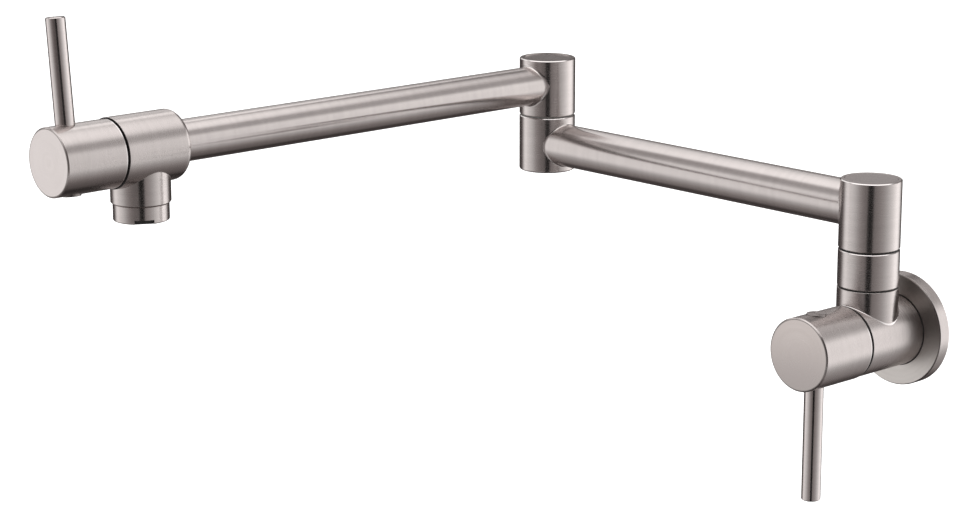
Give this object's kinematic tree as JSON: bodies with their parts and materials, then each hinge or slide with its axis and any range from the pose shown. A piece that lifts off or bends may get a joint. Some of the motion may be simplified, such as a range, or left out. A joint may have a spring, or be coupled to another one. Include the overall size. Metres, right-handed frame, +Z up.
{
  "type": "wall mounted pot filler",
  "caption": "Wall mounted swing tap for filling pots, with an articulated arm and lever valves at the wall and at the outlet, in brushed nickel.",
  "frame": {"origin": "centre of the inlet thread's mouth, in the plane of the wall", "axes": "+Z up, +Y into the wall along the inlet, -Y out from the wall; at rest the lower arm lies along -X and the upper arm points along -Y"},
  "size_m": [0.2882, 0.371, 0.2531],
  "materials": {
    "brushed_nickel": "brushed nickel plate, fine grain",
    "polished_nickel": "satin nickel plate, finely turned",
    "brass": "machined brass",
    "spring_steel": "plain stainless steel",
    "rubber_seal": "black rubber",
    "foam_gasket": "closed-cell foam",
    "slip_plastic": "dark slip plastic",
    "ceramic": "lapped ceramic",
    "aerator_plastic": "moulded plastic"
  },
  "bodies": {
    "wall_body": {"wall_flange": "brushed_nickel", "flange_gasket": "foam_gasket", "flange_ring": "rubber_seal", "valve_body": "brushed_nickel", "inlet_filter_washer": "rubber_seal", "neck_gasket": "slip_plastic", "swivel_collar": "brushed_nickel", "column_post": "brass", "column_rings": "rubber_seal", "column_slip_washer": "slip_plastic", "column_clip": "spring_steel", "wall_cartridge_seal": "rubber_seal", "wall_cartridge_cup": "brass", "wall_cartridge_ring": "rubber_seal", "wall_fixed_disc": "ceramic", "wall_cartridge_nut": "brass"},
    "wall_handle": {"wall_handle_hub": "brushed_nickel", "wall_lever": "polished_nickel", "wall_grub_screw": "spring_steel", "wall_screw_plug": "brushed_nickel", "wall_stem": "brass", "wall_stem_ring": "rubber_seal", "wall_moving_disc": "ceramic"},
    "lower_arm": {"column_head": "brushed_nickel", "column_cap": "brushed_nickel", "lower_arm_tube": "brushed_nickel", "elbow_lower_hub": "brushed_nickel", "elbow_post": "brass", "elbow_rings": "rubber_seal", "elbow_slip_washer": "slip_plastic", "elbow_clip": "spring_steel"},
    "upper_arm": {"elbow_upper_hub": "brushed_nickel", "elbow_cap": "brushed_nickel", "upper_arm_tube": "brushed_nickel", "outlet_body": "brushed_nickel", "outlet_cartridge_seal": "rubber_seal", "outlet_cartridge_cup": "brass", "outlet_cartridge_ring": "rubber_seal", "outlet_fixed_disc": "ceramic", "outlet_cartridge_nut": "brass", "aerator_shell": "brushed_nickel", "aerator_insert": "aerator_plastic", "aerator_washer": "rubber_seal"},
    "outlet_handle": {"outlet_handle_hub": "brushed_nickel", "outlet_lever": "polished_nickel", "outlet_grub_screw": "spring_steel", "outlet_screw_plug": "brushed_nickel", "outlet_stem": "brass", "outlet_stem_ring": "rubber_seal", "outlet_moving_disc": "ceramic"}
  },
  "joints": [
    {"name": "wall_handle_turn", "type": "hinge", "parent": "wall_body", "child": "wall_handle", "pos_m": [0, -0.0715, 0], "axis": [0, -1, 0], "range_deg": [0, 90]},
    {"name": "column_swivel", "type": "hinge", "parent": "wall_body", "child": "lower_arm", "pos_m": [0, -0.0311, 0.0691], "axis": [0, 0, 1], "range_deg": [0, 180]},
    {"name": "elbow_swivel", "type": "hinge", "parent": "lower_arm", "child": "upper_arm", "pos_m": [-0.24, -0.0311, 0.1034], "axis": [0, 0, 1], "continuous": true},
    {"name": "outlet_handle_turn", "type": "hinge", "parent": "upper_arm", "child": "outlet_handle", "pos_m": [-0.24, -0.3593, 0.1027], "axis": [0, -1, 0], "range_deg": [-5.6, 84.4]}
  ]
}
